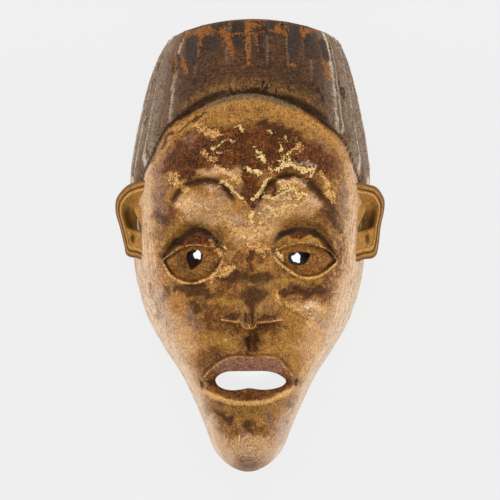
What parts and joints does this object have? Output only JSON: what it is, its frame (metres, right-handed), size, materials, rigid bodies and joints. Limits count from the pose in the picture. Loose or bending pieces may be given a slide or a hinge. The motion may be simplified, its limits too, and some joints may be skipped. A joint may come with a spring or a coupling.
{
  "type": "carved wooden face mask",
  "caption": "Carved wooden face mask of an African type: fluted hair cap, ears, pierced eyes and mouth, and a hollowed back, lying face up on its flat rim.",
  "frame": {"origin": "middle of the mask's outline box, on the plane of the flat back rim", "axes": "+X across the face to the viewer's right, +Y from the chin to the crown, +Z out of the face"},
  "size_m": [0.1724, 0.29, 0.1099],
  "materials": {
    "carved_wood": "dark stained and rubbed hardwood with worn ochre patina"
  },
  "bodies": {
    "root": {"mask": "carved_wood"}
  },
  "joints": []
}
